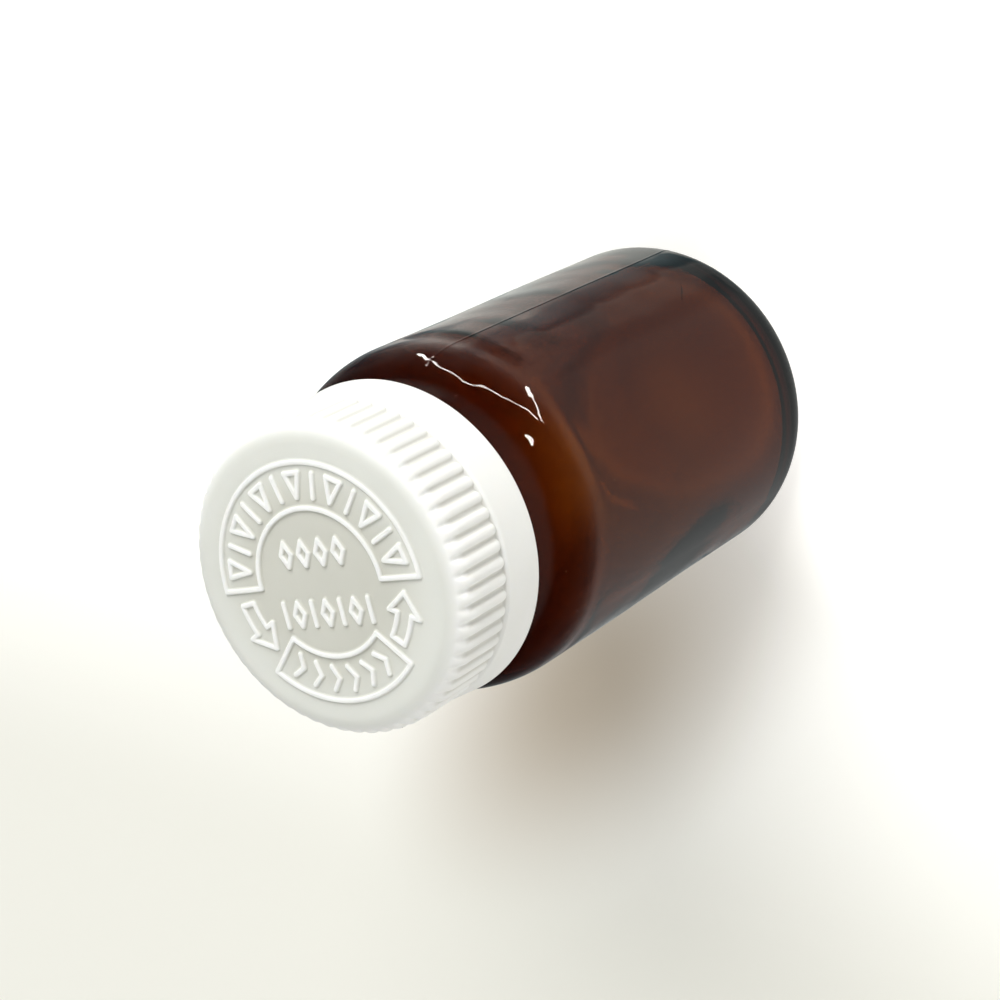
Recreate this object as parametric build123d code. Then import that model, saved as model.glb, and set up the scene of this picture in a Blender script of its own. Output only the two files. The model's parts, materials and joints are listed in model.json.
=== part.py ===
from build123d import *
import math
import os

# Amber glass prescription vial with a two-piece push-and-turn closure.
# Millimetres, +Z up along the bottle axis, origin at the centre of the base.

# ---- Overall heights -------------------------------------------------------
FACE_Z = 93.0                # top face of the closed cap
SKIRT_Z = 76.0               # lower edge of the cap's skirt
LAND_Z = 87.5                # glass sealing land at the mouth

# ---- Glass bottle ----------------------------------------------------------
BODY_R = 24.7
BODY_INNER_R = 22.5
BODY_TOP_Z = 63.8            # where the straight wall ends and the shoulder starts
HEEL_R = 7.0
BEARING_IN_R = 14.2          # the base stands on the ring outside this radius
PUSH_UP = 1.6                # how far the base rises at its centre
FLOOR_MID_Z = 4.4
FLOOR_EDGE_Z = 3.0
HEEL_INNER_R = 6.5
SHOULDER_RISE = 11.0         # height of the shoulder's outer curve
NECK_ROOT_R = 1.0            # hollow round where shoulder meets neck
NECK_R = 17.4                # outer wall of the 38-400 finish, under its thread
BORE_R = 15.4
BORE_ROUND = 1.6             # round from the bore into the shoulder, inside
INNER_SHOULDER_RISE = 9.4
INNER_BODY_TOP_Z = 60.5
LIP_OUT_ROUND = 0.8
LIP_IN_ROUND = 0.6

# ---- Thread, 38 mm diameter at 6 turns per inch ----------------------------
PITCH = 25.4 / 6
THREAD_R = 18.65             # crest of the glass thread
THREAD_TURN = 395.0          # degrees, run-out at both ends included
THREAD_START_Z = 80.6
THREAD_HALF_BASE = 1.25      # half of its height at the wall
THREAD_HALF_CREST = 0.6
RUN_OUT = 30.0               # degrees over which each end dies into the wall
SECTION_STEP = 12.0          # degrees between lofted thread sections
END_DEPTH = 0.15             # share of a thread's depth left at its very ends
SUNK = 0.4                   # how far a thread's root is buried in its wall

# ---- Inner cap -------------------------------------------------------------
CAP_THREAD_R = 17.65         # crest of the cap's own thread
CAP_BORE_R = 18.9
INNER_CAP_R = 19.9
INNER_CAP_LOW_Z = 77.6
INNER_PLATE_LOW_Z = 88.55
INNER_PLATE_TOP_Z = 89.5
CAP_THREAD_TURN = 360.0
CAP_THREAD_LAG = 14.0        # degrees that the cap's thread starts after the glass one
CAP_THREAD_HALF_BASE = 0.85
CAP_THREAD_HALF_CREST = 0.45
LINER_BEAD_Z = 87.05
LINER_BEAD_R = 18.15
LINER_BEAD_HALF = 0.35
INNER_CAP_ROUND = 0.6        # outer edge of the inner cap's top
BORE_CHAMFER = 0.2           # corner between the bore and the plate

# ---- Liner -----------------------------------------------------------------
LINER_R = 18.55
FACING_T = 0.2
BACKING_T = 0.8

# ---- Outer shell -----------------------------------------------------------
CREST_R = 21.7               # over the grip ribs
VALLEY_R = 21.25             # between the grip ribs
SKIRT_TOP_R = 21.8
SKIRT_LOW_R = 22.4
TOP_ROUND = 3.2              # broad round between face and side
RIB_COUNT = 60
RIB_LOW_Z = 82.0
RIB_R = 1.05
SHELL_BORE_R = 20.4
SHELL_SKIRT_BORE_R = 20.7
SHELL_TOP_T = 1.3
SHELL_INNER_ROUND = 1.5
SHELL_EDGE = 0.3             # small chamfers of the skirt and its bead
SKIRT_STEP_Z = 1.0           # the skirt's wider bore ends this far under the ribs
SNAP_BEAD_R = 19.35          # bead that holds the inner cap in the shell
SNAP_BEAD_TOP_Z = 77.4
SNAP_BEAD_LOW_Z = 76.35
SNAP_BEAD_SLOPE = 0.45       # height of the slope over the bead

# ---- Drive lugs between the two caps ----------------------------------------
LUG_COUNT = 12
LUG_IN_R = 14.4
LUG_OUT_R = 18.4
LUG_WIDTH = 2.6
LUG_RAMP = 1.1               # sloping side of each lug, along its width
LUG_H = 0.9
LUG_GAP_DEG = 0.8            # free angle between a shell lug and the lug it drives
LUG_FIRST_DEG = 4.0

# ---- Raised marks on the face ----------------------------------------------
MARK_H = 0.35
MARK_ROOT = 0.2              # how far a mark's foot is buried in the face
BAND_W = 0.75                # width of a band's raised outline
BAND_OUT_R = 16.1
BAND_IN_R = 10.0
TOP_BAND_DEG = (-0.9, 180.9)
LOW_BAND_DEG = (226.0, 314.0)
ARROW_R = 13.2
ARROW_TAIL_DEG = 189.5
ARROW_TIP_DEG = 219.5
ARROW_HALF_SHAFT = 1.05
ARROW_HALF_HEAD = 2.35
ARROW_HEAD_DEG = 13.0
ARROW_POINTS = 5
GLYPH_W = 0.65               # width of the raised lines of arrows and small marks
GLYPH_H = 3.9
PUSH_HALF_W = 1.15
TURN_HALF_W = 0.5
DIAMOND_HALF_W = 0.85
MARK_STEP_DEG = 12.0         # from a band's end to its first mark
PUSH_MARKS = 7
TURN_MARKS = 6
ROW_Y = 4.05                 # height of each centre row over or under the middle
TOP_ROW_PITCH = 2.9
LOW_ROW_PITCH = 2.35
GLYPH_REACH = (GLYPH_H - GLYPH_W) / 2


def polar(radius, degrees):
    """A point of the face's plane at a radius and an angle from +X."""
    angle = math.radians(degrees)
    return (radius * math.cos(angle), radius * math.sin(angle))


def spun(lines):
    """Turns a closed outline, drawn as radius and height, once round +Z."""
    outline = make_face(Plane.XZ * (Curve() + lines))
    return revolve(outline, Axis.Z)


def dome_mid(radius, rise, low_z):
    """The point half way out on an arc that rises over a span's centre."""
    sphere_r = (radius * radius + rise * rise) / (2 * rise)
    half = radius / 2
    drop = sphere_r - math.sqrt(sphere_r * sphere_r - half * half)
    return (half, low_z + rise - drop)


def thread(root_r, crest_r, half_root, half_crest, start_z, first_deg, turn):
    """A helical ridge whose two ends sink into the wall that carries it."""
    depth = crest_r - root_r
    count = int(round(turn / SECTION_STEP))
    sections = []
    for step in range(count + 1):
        swept = turn * step / count
        fade = min(1.0, swept / RUN_OUT, (turn - swept) / RUN_OUT)
        lift = math.sin(fade * math.pi / 2)
        crest = root_r + depth * (END_DEPTH + (1 - END_DEPTH) * lift)
        angle = math.radians(first_deg + swept)
        height = start_z + PITCH * swept / 360
        across = (math.cos(angle), math.sin(angle), 0)
        facing = (math.sin(angle), -math.cos(angle), 0)
        place = Plane(origin=(0, 0, height), x_dir=across, z_dir=facing)
        corners = [
            (root_r, -half_root),
            (crest, -half_crest),
            (crest, half_crest),
            (root_r, half_root),
        ]
        sections.append(place * make_face(Polyline(*corners, close=True)))
    return loft(sections)


def bottle():
    """The blown glass body with its threaded finish."""
    heel_mid_r = BODY_R - HEEL_R
    shoulder_r = NECK_R + NECK_ROOT_R
    shoulder_top = BODY_TOP_Z + SHOULDER_RISE
    neck_low = shoulder_top + NECK_ROOT_R
    inner_shoulder_r = BORE_R + BORE_ROUND
    inner_top = INNER_BODY_TOP_Z + INNER_SHOULDER_RISE
    bore_low = inner_top + BORE_ROUND
    inner_heel_r = BODY_INNER_R - HEEL_INNER_R
    inner_heel_z = FLOOR_EDGE_Z + HEEL_INNER_R
    lip_r = NECK_R - LIP_OUT_ROUND
    mouth_r = BORE_R + LIP_IN_ROUND
    base_mid = dome_mid(BEARING_IN_R, PUSH_UP, 0)
    floor_mid = dome_mid(inner_heel_r, FLOOR_MID_Z - FLOOR_EDGE_Z, FLOOR_EDGE_Z)
    glass = spun([
        ThreePointArc((0, PUSH_UP), base_mid, (BEARING_IN_R, 0)),
        Line((BEARING_IN_R, 0), (heel_mid_r, 0)),
        CenterArc((heel_mid_r, HEEL_R), HEEL_R, 270, 90),
        Line((BODY_R, HEEL_R), (BODY_R, BODY_TOP_Z)),
        EllipticalCenterArc(
            (shoulder_r, BODY_TOP_Z), BODY_R - shoulder_r, SHOULDER_RISE, 0, arc_size=90
        ),
        CenterArc((shoulder_r, neck_low), NECK_ROOT_R, 180, 90),
        Line((NECK_R, neck_low), (NECK_R, LAND_Z - LIP_OUT_ROUND)),
        CenterArc((lip_r, LAND_Z - LIP_OUT_ROUND), LIP_OUT_ROUND, 0, 90),
        Line((lip_r, LAND_Z), (mouth_r, LAND_Z)),
        CenterArc((mouth_r, LAND_Z - LIP_IN_ROUND), LIP_IN_ROUND, 90, 90),
        Line((BORE_R, LAND_Z - LIP_IN_ROUND), (BORE_R, bore_low)),
        CenterArc((inner_shoulder_r, bore_low), BORE_ROUND, 180, 90),
        EllipticalCenterArc(
            (inner_shoulder_r, INNER_BODY_TOP_Z),
            BODY_INNER_R - inner_shoulder_r,
            INNER_SHOULDER_RISE,
            0,
            arc_size=90,
        ),
        Line((BODY_INNER_R, INNER_BODY_TOP_Z), (BODY_INNER_R, inner_heel_z)),
        CenterArc((inner_heel_r, inner_heel_z), HEEL_INNER_R, 270, 90),
        ThreePointArc((inner_heel_r, FLOOR_EDGE_Z), floor_mid, (0, FLOOR_MID_Z)),
        Line((0, FLOOR_MID_Z), (0, PUSH_UP)),
    ])
    ridge = thread(
        NECK_R - SUNK,
        THREAD_R,
        THREAD_HALF_BASE,
        THREAD_HALF_CREST,
        THREAD_START_Z,
        0,
        THREAD_TURN,
    )
    return glass + ridge


def lug(low_z, up, degrees):
    """One ramped drive lug, standing up from a plate or hanging under it."""
    rise = LUG_H if up else -LUG_H
    side = -1 if up else 1
    half = LUG_WIDTH / 2
    outline = Polyline(
        (-side * half, 0),
        (side * half, 0),
        (side * (half - LUG_RAMP), rise),
        (-side * half, rise),
        close=True,
    )
    across = Plane(origin=(LUG_IN_R, 0, low_z), x_dir=(0, 1, 0), z_dir=(1, 0, 0))
    block = extrude(across * make_face(outline), LUG_OUT_R - LUG_IN_R)
    return Rot(0, 0, degrees) * block


def inner_cap():
    """The threaded cap that screws on the glass and holds the liner."""
    top_r = INNER_CAP_R - INNER_CAP_ROUND
    top_round_z = INNER_PLATE_TOP_Z - INNER_CAP_ROUND
    shell = spun([
        Polyline(
            (0, INNER_PLATE_LOW_Z),
            (CAP_BORE_R - BORE_CHAMFER, INNER_PLATE_LOW_Z),
            (CAP_BORE_R, INNER_PLATE_LOW_Z - BORE_CHAMFER),
            (CAP_BORE_R, LINER_BEAD_Z + 2 * LINER_BEAD_HALF),
            (LINER_BEAD_R, LINER_BEAD_Z + LINER_BEAD_HALF / 2),
            (LINER_BEAD_R, LINER_BEAD_Z - LINER_BEAD_HALF / 2),
            (CAP_BORE_R, LINER_BEAD_Z - 2 * LINER_BEAD_HALF),
            (CAP_BORE_R, INNER_CAP_LOW_Z),
            (INNER_CAP_R, INNER_CAP_LOW_Z),
            (INNER_CAP_R, top_round_z),
        ),
        CenterArc((top_r, top_round_z), INNER_CAP_ROUND, 0, 90),
        Polyline((top_r, INNER_PLATE_TOP_Z), (0, INNER_PLATE_TOP_Z), (0, INNER_PLATE_LOW_Z)),
    ])
    cap = shell + thread(
        CAP_BORE_R + SUNK,
        CAP_THREAD_R,
        CAP_THREAD_HALF_BASE,
        CAP_THREAD_HALF_CREST,
        THREAD_START_Z - PITCH / 2 + PITCH * CAP_THREAD_LAG / 360,
        CAP_THREAD_LAG,
        CAP_THREAD_TURN,
    )
    for index in range(LUG_COUNT):
        cap += lug(INNER_PLATE_TOP_Z, True, LUG_FIRST_DEG + index * 360 / LUG_COUNT)
    return cap


def strokes(points):
    """A raised line with round ends and joints, along a list of points."""
    line = Sketch()
    for (x0, y0), (x1, y1) in zip(points, points[1:]):
        length = math.hypot(x1 - x0, y1 - y0)
        lean = math.degrees(math.atan2(y1 - y0, x1 - x0))
        middle = Pos((x0 + x1) / 2, (y0 + y1) / 2)
        line += middle * Rot(0, 0, lean) * SlotCenterToCenter(length, GLYPH_W)
    return line


def bar_mark():
    """One upright bar."""
    return strokes([(0, -GLYPH_REACH), (0, GLYPH_REACH)])


def push_mark():
    """The outline of a narrow triangle that points down, for pushing."""
    left = (-PUSH_HALF_W, GLYPH_REACH)
    right = (PUSH_HALF_W, GLYPH_REACH)
    return strokes([left, (0, -GLYPH_REACH), right, left])


def turn_mark():
    """One arrow head that points along +X, for turning."""
    return strokes([(-TURN_HALF_W, GLYPH_REACH), (TURN_HALF_W, 0), (-TURN_HALF_W, -GLYPH_REACH)])


def diamond_mark():
    """The outline of a narrow diamond."""
    top, low = (0, GLYPH_REACH), (0, -GLYPH_REACH)
    return strokes([top, (DIAMOND_HALF_W, 0), low, (-DIAMOND_HALF_W, 0), top])


def sector(low_r, high_r, start_deg, end_deg):
    """A filled piece of a ring between two radii and two angles."""
    mid = (start_deg + end_deg) / 2
    lines = [
        CenterArc((0, 0), high_r, start_deg, end_deg - start_deg),
        Line(polar(high_r, end_deg), polar(low_r, end_deg)),
        ThreePointArc(polar(low_r, end_deg), polar(low_r, mid), polar(low_r, start_deg)),
        Line(polar(low_r, start_deg), polar(high_r, start_deg)),
    ]
    return make_face(Curve() + lines)


def band(start_deg, end_deg):
    """The outline of a curved panel, as one raised line."""
    half = BAND_W / 2
    middle_r = (BAND_IN_R + BAND_OUT_R) / 2
    pad = math.degrees(half / middle_r)
    outer = sector(BAND_IN_R - half, BAND_OUT_R + half, start_deg - pad, end_deg + pad)
    inner = sector(BAND_IN_R + half, BAND_OUT_R - half, start_deg + pad, end_deg - pad)
    return outer - inner


def arrow(tail_deg, tip_deg):
    """The outline of a curved arrow that points the way the cap turns."""
    neck_deg = tip_deg - ARROW_HEAD_DEG
    inside = ARROW_R - ARROW_HALF_SHAFT
    outside = ARROW_R + ARROW_HALF_SHAFT
    steps = [
        tail_deg + (neck_deg - tail_deg) * index / (ARROW_POINTS - 1)
        for index in range(ARROW_POINTS)
    ]
    points = [polar(outside, angle) for angle in steps]
    points.append(polar(ARROW_R + ARROW_HALF_HEAD, neck_deg))
    points.append(polar(ARROW_R, tip_deg))
    points.append(polar(ARROW_R - ARROW_HALF_HEAD, neck_deg))
    points.extend(polar(inside, angle) for angle in reversed(steps))
    shape = make_face(Polyline(*points, close=True))
    return offset(shape, GLYPH_W / 2) - offset(shape, -GLYPH_W / 2, kind=Kind.INTERSECTION)


def fanned(mark, count, first_deg, last_deg, face_in):
    """Marks spread along a band, with their tops outwards or inwards."""
    middle_r = (BAND_OUT_R + BAND_IN_R) / 2
    fan = Sketch()
    for index in range(count):
        angle = first_deg + index * (last_deg - first_deg) / (count - 1)
        upright = angle + 90 if face_in else angle - 90
        fan += Pos(*polar(middle_r, angle)) * Rot(0, 0, upright) * mark
    return fan


def row(shapes, pitch, y):
    """Marks in a straight row across the middle of the face."""
    line = Sketch()
    for index, mark in enumerate(shapes):
        line += Pos((index - (len(shapes) - 1) / 2) * pitch, y) * mark
    return line


def marks():
    """Every raised mark, as one flat sketch in the face's plane."""
    art = band(*TOP_BAND_DEG) + band(*LOW_BAND_DEG)
    mirrored = 2 * (270 - (ARROW_TAIL_DEG + ARROW_TIP_DEG) / 2)
    art += arrow(ARROW_TAIL_DEG, ARROW_TIP_DEG)
    art += arrow(ARROW_TAIL_DEG + mirrored, ARROW_TIP_DEG + mirrored)
    first, last = TOP_BAND_DEG[0] + MARK_STEP_DEG, TOP_BAND_DEG[1] - MARK_STEP_DEG
    half_step = (last - first) / (PUSH_MARKS - 1) / 2
    art += fanned(push_mark(), PUSH_MARKS, first, last, False)
    art += fanned(bar_mark(), PUSH_MARKS - 1, first + half_step, last - half_step, False)
    first, last = LOW_BAND_DEG[0] + MARK_STEP_DEG, LOW_BAND_DEG[1] - MARK_STEP_DEG
    art += fanned(turn_mark(), TURN_MARKS, first, last, True)
    bar, diamond = bar_mark(), diamond_mark()
    art += row([diamond] * 4, TOP_ROW_PITCH, ROW_Y)
    art += row([bar, diamond, bar, diamond, bar, diamond, bar], LOW_ROW_PITCH, -ROW_Y)
    return art


def outer_cap():
    """The ribbed shell that the hand pushes down and turns."""
    round_r = CREST_R - TOP_ROUND
    edge = SHELL_EDGE
    inside_z = FACE_Z - SHELL_TOP_T
    inside_round_r = SHELL_BORE_R - SHELL_INNER_ROUND
    shell = spun([
        Line((0, FACE_Z), (round_r, FACE_Z)),
        CenterArc((round_r, FACE_Z - TOP_ROUND), TOP_ROUND, 0, 90),
        Polyline(
            (CREST_R, FACE_Z - TOP_ROUND),
            (CREST_R, RIB_LOW_Z + 2 * edge),
            (SKIRT_TOP_R, RIB_LOW_Z),
            (SKIRT_LOW_R, SKIRT_Z + edge),
            (SKIRT_LOW_R - edge, SKIRT_Z),
            (SHELL_SKIRT_BORE_R, SKIRT_Z),
            (SHELL_SKIRT_BORE_R - edge, SNAP_BEAD_LOW_Z),
            (SNAP_BEAD_R, SNAP_BEAD_LOW_Z + edge),
            (SNAP_BEAD_R, SNAP_BEAD_TOP_Z - edge),
            (SNAP_BEAD_R + edge, SNAP_BEAD_TOP_Z),
            (SHELL_SKIRT_BORE_R, SNAP_BEAD_TOP_Z + SNAP_BEAD_SLOPE),
            (SHELL_SKIRT_BORE_R, RIB_LOW_Z - SKIRT_STEP_Z),
            (SHELL_BORE_R, RIB_LOW_Z),
            (SHELL_BORE_R, inside_z - SHELL_INNER_ROUND),
        ),
        CenterArc((inside_round_r, inside_z - SHELL_INNER_ROUND), SHELL_INNER_ROUND, 0, 90),
        Polyline((inside_round_r, inside_z), (0, inside_z), (0, FACE_Z)),
    ])
    rods = Sketch() + [
        Pos(*polar(CREST_R - RIB_R, index * 360 / RIB_COUNT)) * Circle(RIB_R)
        for index in range(RIB_COUNT)
    ]
    valleys = Circle(SKIRT_LOW_R) - Circle(VALLEY_R) - rods
    shell -= Pos(0, 0, RIB_LOW_Z) * extrude(valleys, FACE_Z - RIB_LOW_Z)
    shell += Pos(0, 0, FACE_Z - MARK_ROOT) * extrude(marks(), MARK_ROOT + MARK_H)
    lag_deg = 2 * math.degrees(math.asin(LUG_WIDTH / 2 / LUG_IN_R)) + LUG_GAP_DEG
    for index in range(LUG_COUNT):
        angle = LUG_FIRST_DEG - lag_deg + index * 360 / LUG_COUNT
        shell += lug(inside_z, False, angle)
    return shell


def disc(low_z, thickness):
    """A flat disc of the liner."""
    return Pos(0, 0, low_z) * extrude(Circle(LINER_R), thickness)


parts = {
    "bottle": bottle(),
    "inner_cap": inner_cap(),
    "outer_cap": outer_cap(),
    "liner_facing": disc(LAND_Z, FACING_T),
    "liner_backing": disc(LAND_Z + FACING_T, BACKING_T),
}

os.makedirs("parts", exist_ok=True)
for name, shape in parts.items():
    export_step(shape, f"parts/{name}.step")
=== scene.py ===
import bpy
import math
import numpy as np
from mathutils import Matrix, Vector
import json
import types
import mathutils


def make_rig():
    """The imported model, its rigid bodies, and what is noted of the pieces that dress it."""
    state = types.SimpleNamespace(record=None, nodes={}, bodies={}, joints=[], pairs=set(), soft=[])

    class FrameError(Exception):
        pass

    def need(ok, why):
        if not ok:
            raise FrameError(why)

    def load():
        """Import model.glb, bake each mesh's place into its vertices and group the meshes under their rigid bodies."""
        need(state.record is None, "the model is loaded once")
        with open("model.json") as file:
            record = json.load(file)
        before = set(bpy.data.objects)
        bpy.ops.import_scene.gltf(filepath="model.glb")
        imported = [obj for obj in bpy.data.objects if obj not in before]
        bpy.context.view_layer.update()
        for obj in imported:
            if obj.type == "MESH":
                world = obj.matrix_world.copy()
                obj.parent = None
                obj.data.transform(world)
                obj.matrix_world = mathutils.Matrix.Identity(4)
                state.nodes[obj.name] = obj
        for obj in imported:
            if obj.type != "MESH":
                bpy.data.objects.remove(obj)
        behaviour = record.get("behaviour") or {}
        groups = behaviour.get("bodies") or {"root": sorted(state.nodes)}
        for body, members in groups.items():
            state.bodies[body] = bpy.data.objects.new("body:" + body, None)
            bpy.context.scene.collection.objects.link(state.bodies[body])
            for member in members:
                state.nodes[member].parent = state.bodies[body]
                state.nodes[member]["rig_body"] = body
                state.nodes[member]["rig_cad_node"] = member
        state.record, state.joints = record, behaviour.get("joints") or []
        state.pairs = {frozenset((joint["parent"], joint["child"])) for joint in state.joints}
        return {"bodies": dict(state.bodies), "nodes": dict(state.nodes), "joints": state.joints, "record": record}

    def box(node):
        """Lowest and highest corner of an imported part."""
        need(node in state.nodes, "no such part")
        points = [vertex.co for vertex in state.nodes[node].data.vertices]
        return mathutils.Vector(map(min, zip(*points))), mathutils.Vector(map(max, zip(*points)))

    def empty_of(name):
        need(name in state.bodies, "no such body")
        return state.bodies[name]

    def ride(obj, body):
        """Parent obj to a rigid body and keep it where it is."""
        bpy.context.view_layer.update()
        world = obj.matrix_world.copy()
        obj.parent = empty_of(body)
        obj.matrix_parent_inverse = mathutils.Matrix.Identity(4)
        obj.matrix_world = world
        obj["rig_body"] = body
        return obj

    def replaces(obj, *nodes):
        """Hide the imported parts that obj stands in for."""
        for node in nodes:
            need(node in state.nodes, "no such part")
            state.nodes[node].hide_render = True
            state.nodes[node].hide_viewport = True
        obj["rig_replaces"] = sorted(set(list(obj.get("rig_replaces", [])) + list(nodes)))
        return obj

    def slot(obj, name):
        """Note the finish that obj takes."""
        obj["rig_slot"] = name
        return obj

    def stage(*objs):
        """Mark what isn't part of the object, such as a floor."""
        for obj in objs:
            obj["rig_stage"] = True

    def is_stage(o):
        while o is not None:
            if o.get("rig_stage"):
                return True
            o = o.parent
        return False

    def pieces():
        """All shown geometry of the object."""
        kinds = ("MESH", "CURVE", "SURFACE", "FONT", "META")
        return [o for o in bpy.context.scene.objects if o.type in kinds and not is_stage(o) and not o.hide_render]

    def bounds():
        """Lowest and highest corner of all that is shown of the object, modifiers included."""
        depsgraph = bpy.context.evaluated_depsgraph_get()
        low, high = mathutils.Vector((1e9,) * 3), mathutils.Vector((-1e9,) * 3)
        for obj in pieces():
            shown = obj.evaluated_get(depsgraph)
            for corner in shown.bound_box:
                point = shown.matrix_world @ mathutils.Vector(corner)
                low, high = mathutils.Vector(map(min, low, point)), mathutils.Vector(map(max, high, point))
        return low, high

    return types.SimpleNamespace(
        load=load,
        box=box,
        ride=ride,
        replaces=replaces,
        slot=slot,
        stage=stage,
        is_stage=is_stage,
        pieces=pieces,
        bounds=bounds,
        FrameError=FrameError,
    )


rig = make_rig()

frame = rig.load()
cad_low, cad_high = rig.bounds()

MM = 0.001
TAU = 2 * math.pi

# ---- Sizes in millimetres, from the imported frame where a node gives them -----
BODY_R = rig.box("bottle")[1][0] / MM
LAND_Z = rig.box("bottle")[1][2] / MM
SKIRT_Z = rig.box("outer_cap")[0][2] / MM
MARK_TOP_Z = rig.box("outer_cap")[1][2] / MM
SKIRT_LOW_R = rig.box("outer_cap")[1][0] / MM
INNER_CAP_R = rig.box("inner_cap")[1][0] / MM
INNER_CAP_LOW_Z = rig.box("inner_cap")[0][2] / MM
LINER_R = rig.box("liner_backing")[1][0] / MM

# Glass
HEEL_R = 7.0
BEARING_IN_R = 14.2
PUSH_UP = 1.6
BODY_TOP_Z = 63.8
SHOULDER_RISE = 11.0
NECK_R = 17.4
NECK_ROOT_R = 1.0
BORE_R = 15.4
BORE_ROUND = 1.6
BODY_INNER_R = 22.5
INNER_BODY_TOP_Z = 60.5
INNER_SHOULDER_RISE = 9.4
FLOOR_EDGE_Z = 3.0
FLOOR_MID_Z = 4.4
HEEL_INNER_R = 6.5
LIP_OUT_ROUND = 0.8
LIP_IN_ROUND = 0.6
SEAM_DEG = 70.5
SEAM_WIDTH_DEG = 0.35
SEAM_H = 0.045
STIPPLE_COUNT = 96           # fine ridges on the bearing ring
STIPPLE_H = 0.22
BEARING_SOFT = 0.5           # how far the push-up's curve runs into the bearing ring
WAVE_INSET = 0.045           # keeps the uneven wall inside the true diameter
RING_STEP = 0.16             # height between rings where a thread runs
BOTTLE_SIDES = 288

# Thread
PITCH = 25.4 / 6
THREAD_START_Z = 80.6
THREAD_TURN = 395.0
THREAD_DEPTH = 1.25
THREAD_RUN_OUT = 30.0        # degrees over which a thread rises from nothing
BOTTLE_THREAD_HALVES = (0.25, 1.3)
CAP_THREAD_HALVES = (0.3, 0.95)
CAP_THREAD_LAG = 14.0
CAP_THREAD_TURN = 360.0

# Cap
MARK_H = 0.35
FACE_Z = MARK_TOP_Z - MARK_H
TOP_ROUND = 3.2
CREST_R = 21.7
VALLEY_R = 21.15
SKIRT_TOP_R = 21.8
RIB_LOW_Z = 82.0
RIB_COUNT = 60
RIB_R = 1.05
SHELL_BORE_R = 20.4
SHELL_SKIRT_BORE_R = 20.7
SHELL_TOP_T = 1.3


# ---- Mesh tools --------------------------------------------------------------
def arc(centre, radius, start, end, count, rise=None):
    """Points (r, z) on a round or elliptical arc, in degrees, both ends included."""
    angles = np.radians(np.linspace(start, end, count))
    tall = radius if rise is None else rise
    return np.stack([centre[0] + radius * np.cos(angles), centre[1] + tall * np.sin(angles)], 1)


def line(start, end, count):
    """Points (r, z) on a straight line, both ends included."""
    return np.linspace(start, end, count)


def chain(*runs):
    """Joins runs of points, dropping the point that two neighbours share."""
    points = [runs[0]]
    for run in runs[1:]:
        near = np.linalg.norm(run[0] - points[-1][-1]) < 1e-6
        points.append(run[1:] if near else run)
    return np.concatenate(points)


def smooth(value, low, high):
    """0 below low, 1 above high, and an S curve between them."""
    t = np.clip((value - low) / (high - low), 0, 1)
    return t * t * (3 - 2 * t)


def even_angles(count):
    return np.arange(count) * TAU / count


def ring(radius, height, angles):
    """One ring of points; radius and height may be numbers or arrays."""
    radius = np.broadcast_to(radius, angles.shape)
    height = np.broadcast_to(height, angles.shape)
    return np.stack([radius * np.cos(angles), radius * np.sin(angles), height], 1)


def stitch(first, second, n_first, n_second):
    """Faces between two rings, whose counts are equal or whole multiples."""
    if n_first == n_second:
        i = np.arange(n_first)
        j = (i + 1) % n_first
        return np.stack([first + i, first + j, second + j, second + i], 1).tolist()
    flip = n_first > n_second
    coarse, fine = (second, first) if flip else (first, second)
    n_coarse = min(n_first, n_second)
    n_fine = max(n_first, n_second)
    step = n_fine // n_coarse
    half = step // 2
    faces = []
    for i in range(n_coarse):
        near, far = coarse + i, coarse + (i + 1) % n_coarse
        edge = [fine + (i * step + k) % n_fine for k in range(step + 1)]
        fan = [[near, edge[k + 1], edge[k]] for k in range(half)]
        fan.append([near, far, edge[half]])
        fan += [[far, edge[k + 1], edge[k]] for k in range(half, step)]
        faces += [face[::-1] for face in fan] if flip else fan
    return faces


def skin(rings, start_cap=None, end_cap=None):
    """Vertices and faces over a list of rings, with a point at either end."""
    points = [np.asarray(r) for r in rings]
    starts = np.cumsum([0] + [len(r) for r in points])
    faces = []
    for a, b in zip(range(len(points) - 1), range(1, len(points))):
        faces += stitch(int(starts[a]), int(starts[b]), len(points[a]), len(points[b]))
    verts = list(points)
    total = int(starts[-1])
    if start_cap is not None:
        n = len(points[0])
        faces += [[total, (i + 1) % n, i] for i in range(n)]
        verts.append(np.array([start_cap]))
        total += 1
    if end_cap is not None:
        n, base = len(points[-1]), int(starts[-2])
        faces += [[base + i, base + (i + 1) % n, total] for i in range(n)]
        verts.append(np.array([end_cap]))
    return np.concatenate(verts), faces


def add_mesh(name, verts, faces, material):
    """A Blender object from millimetre vertices, normals outwards."""
    mesh = bpy.data.meshes.new(name)
    mesh.from_pydata((np.asarray(verts) * MM).tolist(), [], faces)
    mesh.validate()
    mesh.update()
    mesh.polygons.foreach_set("use_smooth", [True] * len(mesh.polygons))
    mesh.materials.append(material)
    piece = bpy.data.objects.new(name, mesh)
    bpy.context.collection.objects.link(piece)
    return piece


def join_parts(parts):
    """Puts several (vertices, faces) shells together in one mesh's lists."""
    verts, faces, base = [], [], 0
    for part_verts, part_faces in parts:
        verts.append(np.asarray(part_verts))
        faces += [[v + base for v in face] for face in part_faces]
        base += len(part_verts)
    return np.concatenate(verts), faces


# ---- Bottle ------------------------------------------------------------------
def helix_height(angles, height, start_z, first_deg, turn, half_crest, half_base):
    """How much of a thread's full depth stands at each angle of one ring."""
    total = np.zeros_like(angles)
    for lap in (-1, 0, 1):
        swept = np.degrees(angles) + 360 * lap - first_deg
        centre = start_z + PITCH * swept / 360
        ends = smooth(swept, 0, THREAD_RUN_OUT) * smooth(turn - swept, 0, THREAD_RUN_OUT)
        flank = 1 - smooth(np.abs(height - centre), half_crest, half_base)
        total = np.maximum(total, ends * flank)
    return total


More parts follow.
